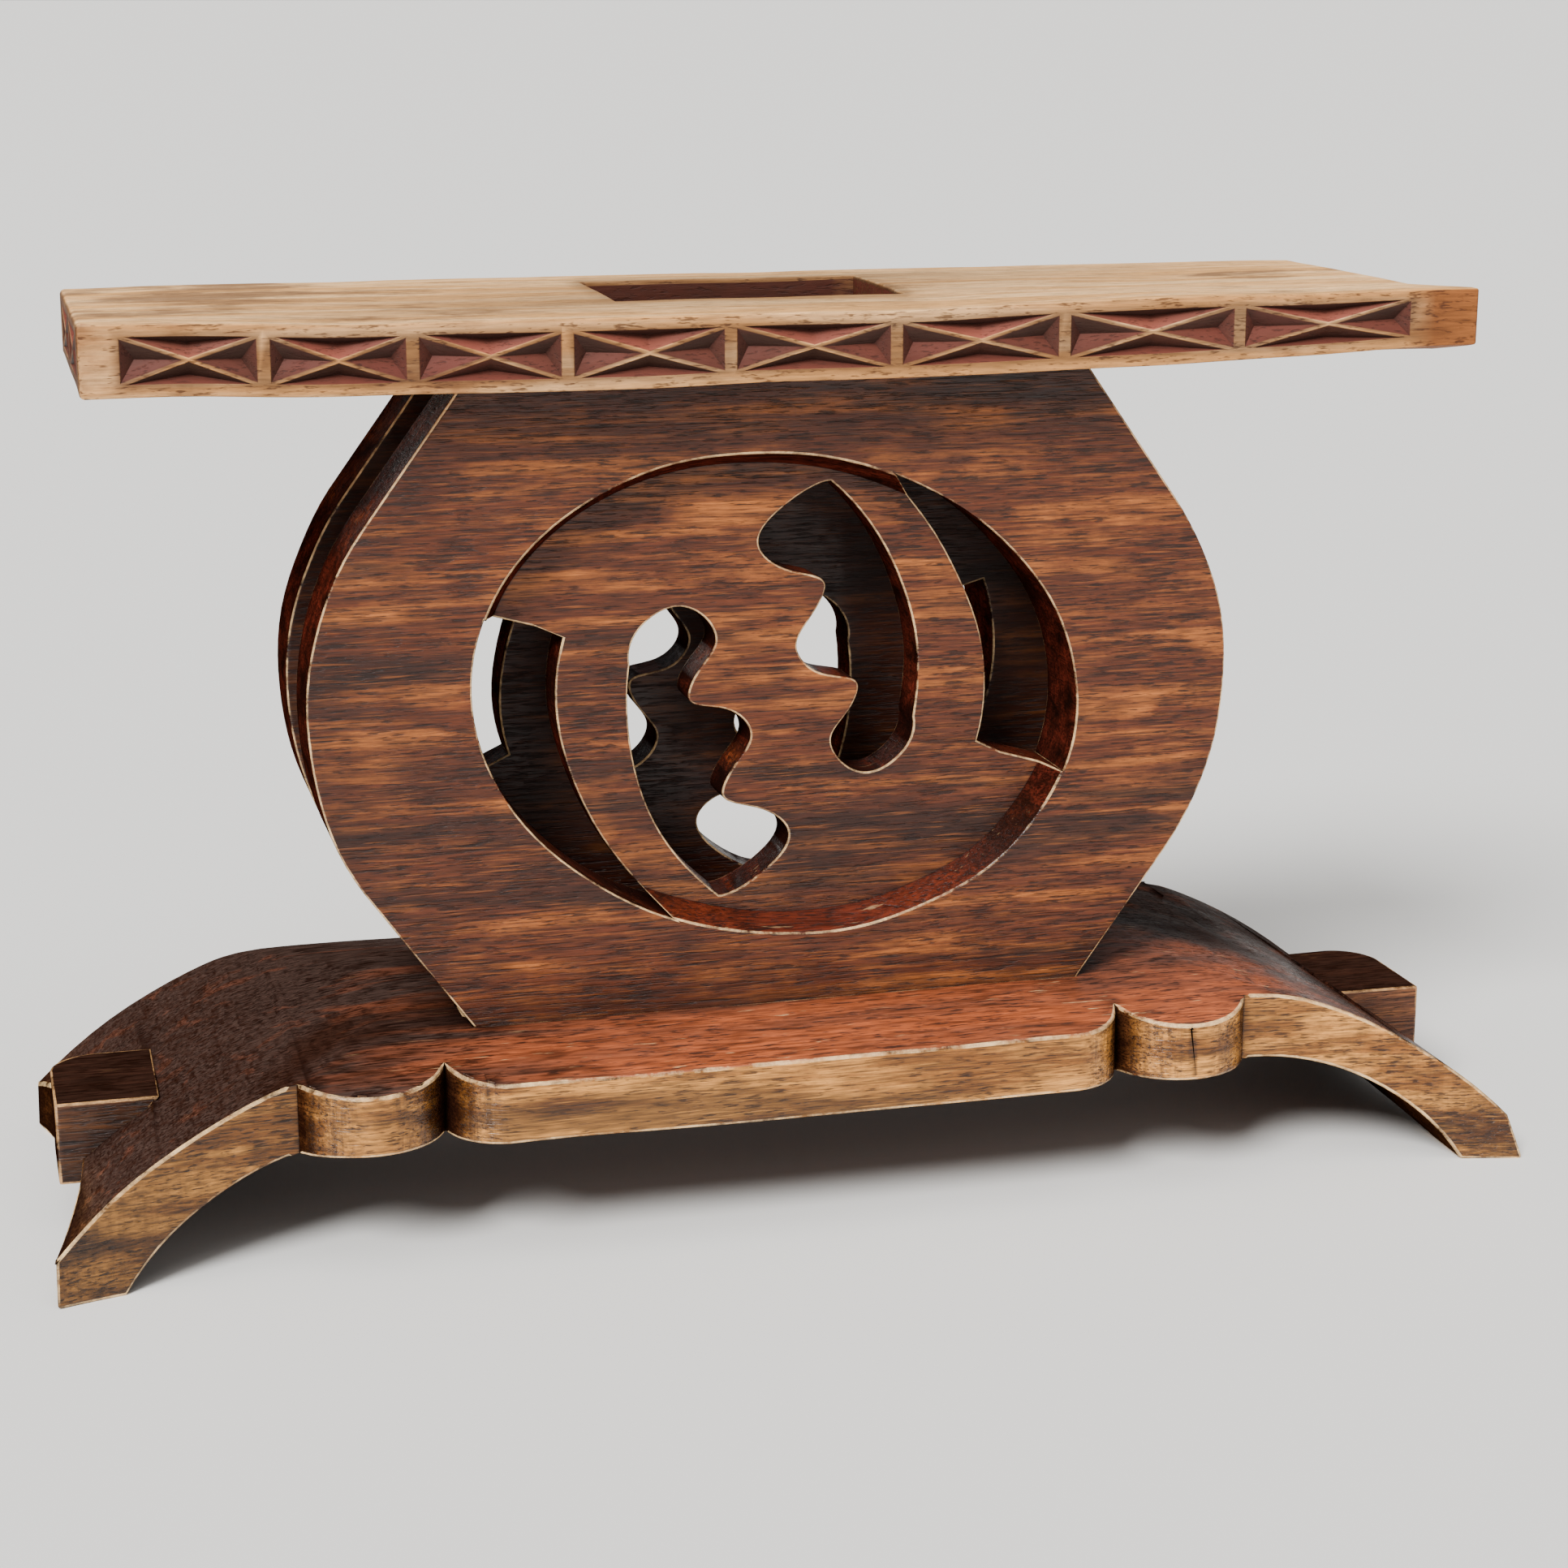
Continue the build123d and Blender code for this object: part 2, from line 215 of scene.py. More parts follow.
def stained_wood(name, golden, brown, dark, bare, top_near, top_far, wall_red, wear, gloss):
    """Open-pored hardwood, stained, waxed and rubbed by use: gold where it is worn, dark pores along
    the grain, bare thin arrises, the stain kept in the corners and inside the openings, and painted
    shade in the corners, between the discs, towards the left-hand end and under the top board."""
    material = bpy.data.materials.new(name)
    material.use_nodes = True
    tree = material.node_tree
    tree.nodes.clear()
    place = node(tree, "TexCoord", {}, "Object")
    facing = node(tree, "TexCoord", {}, "Normal")
    length_way = node(tree, "SeparateXYZ", {0: place}, 0)
    depth_way = node(tree, "SeparateXYZ", {0: place}, 1)
    faces_front = node(tree, "SeparateXYZ", {0: facing}, 1)
    faces_up = node(tree, "SeparateXYZ", {0: facing}, 2)

    # Growth streaks about 5 mm wide that run along the board, and broad bands of darker heartwood.
    along = node(tree, "Mapping", {0: place, 3: per_metre(95, 12, 6)})
    streak = node(
        tree, "TexNoise", {0: along, "Scale": 1, "Detail": 6, "Roughness": 0.62, "Distortion": 0.4},
    )
    broad = node(tree, "Mapping", {0: place, 3: per_metre(150, 60, 20)})
    band = node(tree, "TexNoise", {0: broad, "Scale": 1, "Detail": 4, "Roughness": 0.55, "Distortion": 0.6})
    # Wear comes in patches a few centimetres across.
    patchy = node(tree, "Mapping", {0: place, 3: per_metre(44, 36, 30)})
    patch = node(tree, "TexNoise", {0: patchy, "Scale": 1, "Detail": 8, "Roughness": 0.68})
    # Fibres and pores are short dark dashes along the grain, half a millimetre wide.
    fibre_place = node(tree, "Mapping", {0: place, 3: per_metre(11, 1.0, 0.7)})
    fibre = node(tree, "TexNoise", {0: fibre_place, "Scale": 1, "Detail": 3, "Roughness": 0.6})
    pore_place = node(tree, "Mapping", {0: place, 3: per_metre(7, 1.0, 0.62)})
    pore_noise = node(tree, "TexNoise", {0: pore_place, "Scale": 1, "Detail": 2, "Roughness": 0.6})
    # Fine scratches and knife scores cross the grain at a slant.
    scratch_place = node(tree, "Mapping", {0: place, 2: (0, radians(58), 0), 3: per_metre(15, 8, 0.55)})
    scratch_noise = node(tree, "TexNoise", {0: scratch_place, "Scale": 1, "Detail": 2, "Roughness": 0.5})
    scratch = node(tree, "MapRange", {"Value": scratch_noise, "From Min": 0.59, "From Max": 0.7})
    score_place = node(tree, "Mapping", {0: place, 2: (0, radians(-41), 0), 3: per_metre(19, 8, 0.6)})
    score_noise = node(tree, "TexNoise", {0: score_place, "Scale": 1, "Detail": 2, "Roughness": 0.5})
    score = node(tree, "MapRange", {"Value": score_noise, "From Min": 0.56, "From Max": 0.7})

    # Faces that stand upright to the front or the back: brown, rubbed to gold in patches.
    worn_part = node(tree, "Math", {0: patch, 1: 0.5}, operation="MULTIPLY")
    worn_part = node(tree, "Math", {0: streak, 1: 0.85, 2: worn_part}, operation="MULTIPLY_ADD")
    worn = node(
        tree, "MapRange", {"Value": worn_part, "From Min": 0.68 - wear, "From Max": 0.92 - wear},
        interpolation_type="SMOOTHSTEP",
    )
    colour = node(tree, "Mix", {0: worn, 6: linear(brown), 7: linear(golden)}, 2, data_type="RGBA")

    # Upper faces: red brown near the front and the middle, darker towards the ends and the back; the
    # dark towards the back is partly the panels' painted shadow.
    off_middle = node(tree, "Math", {0: length_way, 1: 0.03}, operation="SUBTRACT")
    off_middle = node(tree, "Math", {0: off_middle}, operation="ABSOLUTE")
    near_middle = node(
        tree, "MapRange",
        {"Value": off_middle, "From Min": 0.09, "From Max": 0.18, "To Min": 1, "To Max": 0.0},
    )
    near_front = node(
        tree, "MapRange",
        {"Value": depth_way, "From Min": -0.05, "From Max": 0.03, "To Min": 1, "To Max": 0.2},
    )
    near_even = node(tree, "Math", {0: near_middle, 1: near_front}, operation="MULTIPLY")
    near_noise = node(
        tree, "MapRange",
        {"Value": streak, "From Min": 0.38, "From Max": 0.62, "To Min": -0.5, "To Max": 0.14},
    )
    near = node(tree, "Math", {0: near_even, 1: near_noise}, operation="ADD", use_clamp=True)
    top_tone = node(tree, "Mix", {0: near, 6: linear(top_far), 7: linear(top_near)}, 2, data_type="RGBA")
    up = node(
        tree, "MapRange",
        {"Value": faces_up, "From Min": 0.45, "From Max": 0.8}, interpolation_type="SMOOTHSTEP",
    )
    colour = node(tree, "Mix", {0: up, 6: colour, 7: top_tone}, 2, data_type="RGBA")

    # Walls of the openings and the ends keep more of the red stain.
    upright = node(tree, "Math", {0: faces_front}, operation="ABSOLUTE")
    wall = node(
        tree, "MapRange", {"Value": upright, "From Min": 0.5, "From Max": 0.8, "To Min": 1, "To Max": 0},
    )
    wall = node(tree, "Math", {0: wall, 1: up}, operation="SUBTRACT", use_clamp=True)
    wall_worn = node(tree, "MapRange", {"Value": streak, "From Min": 0.35, "From Max": 0.7})
    wall_tone = node(tree, "Mix", {0: wall_worn, 6: linear(dark), 7: linear(wall_red)}, 2, data_type="RGBA")
    colour = node(tree, "Mix", {0: wall, 6: colour, 7: wall_tone}, 2, data_type="RGBA")

    # Dark bands, fibres, pores, scratches and scores over all of it.
    band_part = node(
        tree, "MapRange",
        {"Value": band, "From Min": 0.5, "From Max": 0.66}, interpolation_type="SMOOTHSTEP",
    )
    band_share = node(tree, "Math", {0: band_part, 1: 0.75}, operation="MULTIPLY")
    colour = node(tree, "Mix", {0: band_share, 6: colour, 7: linear(dark)}, 2, data_type="RGBA")
    fibre_tone = node(
        tree, "MapRange",
        {"Value": fibre, "From Min": 0.3, "From Max": 0.7, "To Min": 0.35, "To Max": 1.45},
    )
    colour = node(
        tree, "Mix", {0: 1.0, 6: colour, 7: fibre_tone}, 2, data_type="RGBA", blend_type="MULTIPLY",
    )
    pore_limit = node(
        tree, "MapRange",
        {"Value": patch, "From Min": 0.35, "From Max": 0.65, "To Min": 0.50, "To Max": 0.62},
    )
    pore_part = node(tree, "Math", {0: pore_noise, 1: pore_limit}, operation="SUBTRACT")
    pore = node(tree, "MapRange", {"Value": pore_part, "From Min": 0, "From Max": 0.08})
    pore_share = node(tree, "Math", {0: pore, 1: 0.78}, operation="MULTIPLY")
    colour = node(tree, "Mix", {0: pore_share, 6: colour, 7: linear("#1A0B06")}, 2, data_type="RGBA")
    upright_share = node(
        tree, "MapRange", {"Value": upright, "From Min": 0.6, "From Max": 0.9, "To Min": 0, "To Max": 0.38},
    )
    scratch_share = node(tree, "Math", {0: scratch, 1: upright_share}, operation="MULTIPLY")
    colour = node(tree, "Mix", {0: scratch_share, 6: colour, 7: linear(golden)}, 2, data_type="RGBA")
    score_share = node(tree, "Math", {0: score, 1: 0.62}, operation="MULTIPLY")
    colour = node(tree, "Mix", {0: score_share, 6: colour, 7: linear("#20100A")}, 2, data_type="RGBA")

    # The gouge left upright marks where it cut round the scallops and the openings.
    faces_side = node(tree, "SeparateXYZ", {0: facing}, 0)
    curved = node(tree, "Math", {0: faces_side}, operation="ABSOLUTE")
    curved = node(tree, "MapRange", {"Value": curved, "From Min": 0.08, "From Max": 0.4})
    gouge_place = node(tree, "Mapping", {0: place, 3: per_metre(2.6, 2.6, 26)})
    gouge_noise = node(tree, "TexNoise", {0: gouge_place, "Scale": 1, "Detail": 5, "Roughness": 0.7})
    gouge = node(tree, "MapRange", {"Value": gouge_noise, "From Min": 0.42, "From Max": 0.62})
    gouge = node(tree, "Math", {0: gouge, 1: curved}, operation="MULTIPLY")
    gouge_share = node(tree, "Math", {0: gouge, 1: 0.6}, operation="MULTIPLY")
    colour = node(tree, "Mix", {0: gouge_share, 6: colour, 7: linear(dark)}, 2, data_type="RGBA")

    # The upright faces are painted darker towards the left-hand end and close under the top board:
    # painted shade, and under the board its painted shadow.
    height_way = node(tree, "SeparateXYZ", {0: place}, 2)
    not_up = node(tree, "Math", {0: 1.0, 1: up}, operation="SUBTRACT")
    left_shade = node(
        tree, "MapRange",
        {"Value": length_way, "From Min": -0.19, "From Max": -0.1, "To Min": 0.42, "To Max": 1},
    )
    head_shade = node(
        tree, "MapRange",
        {"Value": height_way, "From Min": 0.2, "From Max": 0.24, "To Min": 1, "To Max": 0.62},
    )
    shade = node(tree, "Math", {0: left_shade, 1: head_shade}, operation="MULTIPLY")
    colour = node(tree, "Mix", {0: not_up, 6: colour, 7: shade}, 2, data_type="RGBA", blend_type="MULTIPLY")

    # Short pale marks lie along the upper faces near the front and the middle: partly scuffs, partly
    # painted glints.
    scuff_and_glint_place = node(tree, "Mapping", {0: place, 3: per_metre(16, 1.6, 3)})
    scuff_and_glint_noise = node(tree, "TexNoise", {0: scuff_and_glint_place, "Scale": 1, "Detail": 3, "Roughness": 0.6})
    scuff_and_glint = node(
        tree, "MapRange",
        {"Value": scuff_and_glint_noise, "From Min": 0.66, "From Max": 0.72, "To Min": 0, "To Max": 0.7},
    )
    scuff_and_glint = node(tree, "Math", {0: scuff_and_glint, 1: near}, operation="MULTIPLY")
    scuff_and_glint = node(tree, "Math", {0: scuff_and_glint, 1: up}, operation="MULTIPLY")
    colour = node(tree, "Mix", {0: scuff_and_glint, 6: colour, 7: linear(bare)}, 2, data_type="RGBA")

    # The faces in the narrow gap between the discs are painted near black: painted shade.
    off_gap = node(tree, "Math", {0: depth_way}, operation="ABSOLUTE")
    gap_shade = node(
        tree, "MapRange",
        {"Value": off_gap, "From Min": 0.0125, "From Max": 0.0165, "To Min": 0.7, "To Max": 0},
    )
    gap_shade = node(tree, "Math", {0: gap_shade, 1: up}, operation="SUBTRACT", use_clamp=True)
    colour = node(tree, "Mix", {0: gap_shade, 6: colour, 7: linear("#1B0906")}, 2, data_type="RGBA")
    # Inner corners and the joints between pieces are painted dark from ambient occlusion: painted shade,
    # with the stain and dirt that stay there.
    open_air = node(tree, "AmbientOcclusion", {"Distance": 0.014}, 1, samples=4)
    corner = node(
        tree, "MapRange", {"Value": open_air, "From Min": 0.35, "From Max": 0.9, "To Min": 1, "To Max": 0},
    )
    lee = node(tree, "Attribute", {}, 2, attribute_name="lee")
    corner = node(tree, "Math", {0: corner, 1: lee}, operation="MAXIMUM")
    corner_share = node(tree, "Math", {0: corner, 1: 0.75}, operation="MULTIPLY")
    colour = node(tree, "Mix", {0: corner_share, 6: colour, 7: linear("#170A07")}, 2, data_type="RGBA")
    # The arrises are rubbed through to bare wood, in a broken line.
    rub = node(tree, "Attribute", {}, 2, attribute_name="rub")
    rub_place = node(tree, "Mapping", {0: place, 3: per_metre(14, 14, 14)})
    rub_noise = node(tree, "TexNoise", {0: rub_place, "Scale": 1, "Detail": 6, "Roughness": 0.75})
    rub_sum = node(tree, "Math", {0: rub, 1: rub_noise}, operation="ADD")
    rubbed = node(tree, "MapRange", {"Value": rub_sum, "From Min": 1.4, "From Max": 1.62})
    rub_share = node(tree, "Math", {0: rubbed, 1: 0.9}, operation="MULTIPLY")
    colour = node(tree, "Mix", {0: rub_share, 6: colour, 7: linear(bare)}, 2, data_type="RGBA")

    shine = node(
        tree, "MapRange",
        {"Value": patch, "From Min": 0.3, "From Max": 0.7, "To Min": gloss, "To Max": gloss + 0.22},
    )
    shine = node(tree, "Math", {0: pore, 1: 0.2, 2: shine}, operation="MULTIPLY_ADD")
    shine = node(tree, "Math", {0: curved, 1: -0.14, 2: shine}, operation="MULTIPLY_ADD")
    # The wax is thin on the ends, the backs and the shoulders, which look dull.
    sheen = node(
        tree, "MapRange",
        {"Value": upright, "From Min": 0.5, "From Max": 0.8, "To Min": 0, "To Max": 0.4},
    )
    near_sheen = node(tree, "Math", {0: near_even, 1: 3.0}, operation="POWER")
    near_sheen = node(tree, "Math", {0: near_sheen, 1: up}, operation="MULTIPLY")
    sheen = node(tree, "Math", {0: near_sheen, 1: 0.4, 2: sheen}, operation="MULTIPLY_ADD")
    grit = node(tree, "Math", {0: pore, 1: -0.6, 2: fibre}, operation="MULTIPLY_ADD")
    grit = node(tree, "Math", {0: score, 1: -0.5, 2: grit}, operation="MULTIPLY_ADD")
    tooled = node(tree, "Mapping", {0: place, 3: per_metre(22, 18, 22)})
    hand_cut = node(tree, "TexNoise", {0: tooled, "Scale": 1, "Detail": 2, "Roughness": 0.4})
    slow = node(tree, "Bump", {"Strength": 0.8, "Distance": 0.002, "Height": hand_cut})
    relief = node(tree, "Bump", {"Strength": 0.8, "Distance": 0.00025, "Height": grit, "Normal": slow})
    wood = node(
        tree, "BsdfPrincipled",
        {
            "Base Color": colour, "Roughness": shine, "Normal": relief, "IOR": 1.5,
            "Specular IOR Level": sheen,
        },
    )
    node(tree, "OutputMaterial", {0: wood})
    return material


# Waxed and rubbed hardwood: reddish and half glossy on top, dry and golden on the front.
base_wood = stained_wood(
    "stained_waxed_base_wood", golden="#DE9848", brown="#84501F", dark="#2B140A", bare="#F6CC94",
    top_near="#A2522E", top_far="#40302A", wall_red="#7C4A26", wear=0.11, gloss=0.28,
)
base_mesh = merged_copy("arched_base")
cut_across(base_mesh, 0, -base_half_length, base_half_length, 0.006)
rub_arrises(base_mesh, clear_of_notches(sharp_edges(base_mesh)), width=0.0008, segments=2)
add_rims(base_mesh, width=0.0008, least_area=0.0001)
note_wear(base_mesh)
for vert in base_mesh.verts:
    # The crown is planed to run smoothly into the arch, with no ridge between the two.
    if vert.co.z < foot_level:
        continue
    crown = crown_height - crown_radius + sqrt(crown_radius ** 2 - vert.co.y ** 2)
    run = min(max(abs(vert.co.x) - arch_flats[vert.co.x > 0], 0), arch_reach)
    arch = crown_height - arch_radius + sqrt(arch_radius ** 2 - run ** 2)
    crisp = min(crown, arch)
    if abs(vert.co.z - crisp) < skin_depth:
        share = min(max(0.5 + 0.5 * (arch - crown) / shoulder_blend, 0), 1)
        smooth = arch + (crown - arch) * share - shoulder_blend * share * (1 - share)
        vert.co.z = smooth if abs(vert.co.z - crisp) < on_surface else vert.co.z + smooth - crisp
waver(base_mesh, reach=(hand_waver,) * 3, spacing=0.035, inside=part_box("arched_base"))
finished_piece(base_mesh, "base", "arched_base", base_wood)


# --- End lugs ---------------------------------------------------------------------------------------
# A small block at each end of the base, pegged to a sloping seat. They are the same hardwood as the
# base, with less wear, because they sit low and are seldom touched.
lug_wood = stained_wood(
    "stained_waxed_lug_wood", golden="#9A5F34", brown="#5C3420", dark="#24120B", bare="#D2A06A",
    top_near="#4A2A1E", top_far="#2E1C15", wall_red="#6A3C22", wear=0.10, gloss=0.36,
)
for side in ("left", "right"):
    lug_mesh = merged_copy(f"{side}_end_block")
    rub_arrises(lug_mesh, sharp_edges(lug_mesh), width=0.0007, segments=2)
    add_rims(lug_mesh, width=0.0012, least_area=0.0001)
    note_wear(lug_mesh)
    waver(lug_mesh, reach=(0.0005, 0.0005, 0.0005), spacing=0.03, inside=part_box(f"{side}_end_block"))
    finished_piece(lug_mesh, f"{side}_lug", f"{side}_end_block", lug_wood)


# --- Carved disc panels -----------------------------------------------------------------------------
# Two openwork discs sawn and carved from 25 mm boards, stained and waxed. The faces are worn brown to
# gold with dark growth bands, and the walls of the openings keep a glossy red stain.
panel_wood = stained_wood(
    "stained_waxed_panel_wood", golden="#A8602A", brown="#542610", dark="#1C0C07", bare="#F0C690",
    top_near="#6A2A17", top_far="#522014", wall_red="#64261A", wear=0.04, gloss=0.30,
)
for side in ("front", "back"):
    panel_mesh = merged_copy(f"{side}_panel")
    rub_arrises(panel_mesh, sharp_edges(panel_mesh), width=0.00045, segments=2)
    add_rims(panel_mesh, width=0.0007, least_area=0.00005)
    note_wear(panel_mesh)
    waver(
        panel_mesh, reach=(hand_waver, 0.0002, hand_waver), spacing=0.03, inside=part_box(f"{side}_panel"),
    )
    finished_piece(panel_mesh, f"{side}_disc", f"{side}_panel", panel_wood)


# --- Top board --------------------------------------------------------------------------------------
# The flat board that the head rests on, left raw and scrubbed pale by use. Its edges are chip carved
# with a knife, and the chips are stained red brown. The board has dished and warped a little.
board_low, board_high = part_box("top_board")
board_mesh = merged_copy("top_board")
outer_edges = [
    edge for edge in sharp_edges(board_mesh)
    if all(min(vert.co.z - board_low.z, board_high.z - vert.co.z) < 0.0001 for vert in edge.verts)
]
rub_arrises(board_mesh, outer_edges, width=0.0012, segments=3)
note_wear(board_mesh)
cut_across(board_mesh, 0, board_low.x, board_high.x, 0.008)
cut_across(board_mesh, 1, board_low.y, board_high.y, 0.012)

# How far the front arris has dropped along the board, and how the underside bends there.
arris_drop = ((-0.200, 0), (-0.112, 0.0020), (0.025, 0.0020), (0.070, 0.0008), (0.120, 0.0002), (0.200, 0))
under_drop = ((-0.200, 0.0006), (-0.080, 0.0026), (0.030, 0.0016), (0.090, 0.0006), (0.200, -0.0024))


def along_board(table, x):
    """A value read smoothly from a short list of places and values along the board."""
    for (x0, low), (x1, high) in zip(table, table[1:]):
        if x <= x1:
            t = min(max((x - x0) / (x1 - x0), 0), 1)
            return low + (high - low) * t * t * (3 - 2 * t)
    return table[-1][1]


for vert in board_mesh.verts:
    height = (vert.co.z - board_low.z) / (board_high.z - board_low.z)
    near_front = min(max((0.040 - vert.co.y) / 0.094, 0), 1)
    at_edge = min(max((-0.040 - vert.co.y) / 0.014, 0), 1)
    fall = along_board(arris_drop, vert.co.x) * near_front ** 2 * height
    fall += along_board(under_drop, vert.co.x) * at_edge * (1 - height)
    vert.co.z -= fall
lowest_bend = Vector((board_low.x, board_low.y, 0.24))
waver(board_mesh, reach=(0, 0, hand_waver), spacing=0.04, inside=(lowest_bend, board_high))

# Raw, dry hardwood: pale, matt, with fine grey fibres and a few pink smudges; the chips are stained.
raw_wood = bpy.data.materials.new("scrubbed_raw_top_wood")
raw_wood.use_nodes = True
tree = raw_wood.node_tree
tree.nodes.clear()
place = node(tree, "TexCoord", {}, "Object")
facing = node(tree, "TexCoord", {}, "Normal")
lengthways = node(tree, "SeparateXYZ", {0: place}, 0)
along = node(tree, "Mapping", {0: place, 3: per_metre(120, 7, 7)})
streak = node(tree, "TexNoise", {0: along, "Scale": 1, "Detail": 6, "Roughness": 0.6, "Distortion": 0.3})
smudge_place = node(tree, "Mapping", {0: place, 3: per_metre(60, 26, 30)})
smudge = node(tree, "TexNoise", {0: smudge_place, "Scale": 1, "Detail": 6, "Roughness": 0.65})
fibre_place = node(tree, "Mapping", {0: place, 3: per_metre(12, 0.9, 0.9)})
fibre = node(tree, "TexNoise", {0: fibre_place, "Scale": 1, "Detail": 3, "Roughness": 0.6})
pore_place = node(tree, "Mapping", {0: place, 3: per_metre(5, 0.8, 0.8)})
pore_noise = node(tree, "TexNoise", {0: pore_place, "Scale": 1, "Detail": 2, "Roughness": 0.7})
pore = node(tree, "MapRange", {"Value": pore_noise, "From Min": 0.56, "From Max": 0.66})
tone = node(
    tree, "MapRange",
    {"Value": streak, "From Min": 0.38, "From Max": 0.64}, interpolation_type="SMOOTHSTEP",
)
colour = node(tree, "Mix", {0: tone, 6: linear("#E2A664"), 7: linear("#FFCE92")}, 2, data_type="RGBA")
smudge_limit = node(
    tree, "MapRange",
    {"Value": lengthways, "From Min": -0.19, "From Max": -0.05, "To Min": 0.16, "To Max": 0},
)
smudge_part = node(tree, "Math", {0: smudge, 1: smudge_limit}, operation="ADD")
grey = node(
    tree, "MapRange",
    {"Value": smudge_part, "From Min": 0.56, "From Max": 0.72}, interpolation_type="SMOOTHSTEP",
)
grey = node(tree, "Math", {0: grey, 1: 0.85}, operation="MULTIPLY")
colour = node(tree, "Mix", {0: grey, 6: colour, 7: linear("#86603F")}, 2, data_type="RGBA")
# The side faces are painted browner than the top, as painted shade, and most of all at the right-hand lip.
edge_up = node(tree, "SeparateXYZ", {0: facing}, 2)
edge_shade_and_lip = node(
    tree, "MapRange", {"Value": edge_up, "From Min": 0.3, "From Max": 0.9, "To Min": 0.5, "To Max": 0},
)
lip = node(
    tree, "MapRange",
    {"Value": lengthways, "From Min": 0.176, "From Max": 0.186},
)
lip = node(tree, "Math", {0: lip, 1: edge_shade_and_lip}, operation="MULTIPLY")
edge_shade_and_lip = node(tree, "Math", {0: edge_shade_and_lip, 1: lip}, operation="ADD", use_clamp=True)
left_side = node(tree, "SeparateXYZ", {0: facing}, 0)
left_side = node(
    tree, "MapRange", {"Value": left_side, "From Min": -0.9, "From Max": -0.6, "To Min": 0.75, "To Max": 0},
)
colour = node(tree, "Mix", {0: edge_shade_and_lip, 6: colour, 7: linear("#8E5428")}, 2, data_type="RGBA")
colour = node(tree, "Mix", {0: left_side, 6: colour, 7: linear("#2E170E")}, 2, data_type="RGBA")
fibre_tone = node(
    tree, "MapRange", {"Value": fibre, "From Min": 0.3, "From Max": 0.7, "To Min": 0.62, "To Max": 1.25},
)
colour = node(tree, "Mix", {0: 1.0, 6: colour, 7: fibre_tone}, 2, data_type="RGBA", blend_type="MULTIPLY")

# The stain lies below the outer faces: in the chips and down the walls of the finger slot.
across = node(tree, "SeparateXYZ", {0: place}, 1)
from_edge = node(tree, "Math", {0: across}, operation="ABSOLUTE")
from_edge = node(tree, "Math", {0: 0.054, 1: from_edge}, operation="SUBTRACT")
from_left = node(tree, "Math", {0: lengthways, 1: 0.2}, operation="ADD")
from_right = node(tree, "Math", {0: 0.188, 1: lengthways}, operation="SUBTRACT")
from_end = node(tree, "Math", {0: from_left, 1: from_right}, operation="MINIMUM")
depth = node(tree, "Math", {0: from_edge, 1: from_end}, operation="MINIMUM")
cut = node(tree, "MapRange", {"Value": depth, "From Min": 0.00004, "From Max": 0.00022})
level = node(tree, "Math", {0: edge_up}, operation="ABSOLUTE")
not_level = node(
    tree, "MapRange", {"Value": level, "From Min": 0.9, "From Max": 0.98, "To Min": 1, "To Max": 0},
)
stained = node(tree, "Math", {0: cut, 1: not_level}, operation="MULTIPLY")
bare = node(tree, "Attribute", {}, 2, attribute_name="bare")
stained = node(tree, "Math", {0: stained, 1: bare}, operation="SUBTRACT", use_clamp=True)
# The stained chips are painted lighter where they face up and darker where they face down: painted light
# and shade, broken by random patches.
chip_patch = node(
    tree, "MapRange", {"Value": smudge, "From Min": 0.3, "From Max": 0.7, "To Min": -0.3, "To Max": 0.3},
)
chip_light_and_patch = node(tree, "MapRange", {"Value": edge_up, "From Min": -0.4, "From Max": 0.8})
chip_light_and_patch = node(tree, "Math", {0: chip_light_and_patch, 1: chip_patch}, operation="ADD", use_clamp=True)
chip_colour = node(
    tree, "Mix", {0: chip_light_and_patch, 6: linear("#220A07"), 7: linear("#96493C")}, 2, data_type="RGBA",
)
# The slot was torn out at its right-hand end, where broken fibres show pale through the stain.
torn_noise = node(tree, "TexNoise", {0: fibre_place, "Scale": 0.6, "Detail": 4, "Roughness": 0.7})
torn = node(
    tree, "MapRange", {"Value": torn_noise, "From Min": 0.42, "From Max": 0.6, "To Min": 0, "To Max": 0.8},
)
torn_from = node(tree, "MapRange", {"Value": lengthways, "From Min": 0.028, "From Max": 0.036})
in_slot = node(tree, "Math", {0: across}, operation="ABSOLUTE")
in_slot = node(
    tree, "MapRange", {"Value": in_slot, "From Min": 0.034, "From Max": 0.036, "To Min": 1, "To Max": 0},
)
torn = node(tree, "Math", {0: torn, 1: torn_from}, operation="MULTIPLY")
torn = node(tree, "Math", {0: torn, 1: in_slot}, operation="MULTIPLY")
stained = node(tree, "Math", {0: stained, 1: torn}, operation="SUBTRACT", use_clamp=True)
stain_share = node(tree, "Math", {0: stained, 1: 0.95}, operation="MULTIPLY")
colour = node(tree, "Mix", {0: stain_share, 6: colour, 7: chip_colour}, 2, data_type="RGBA")
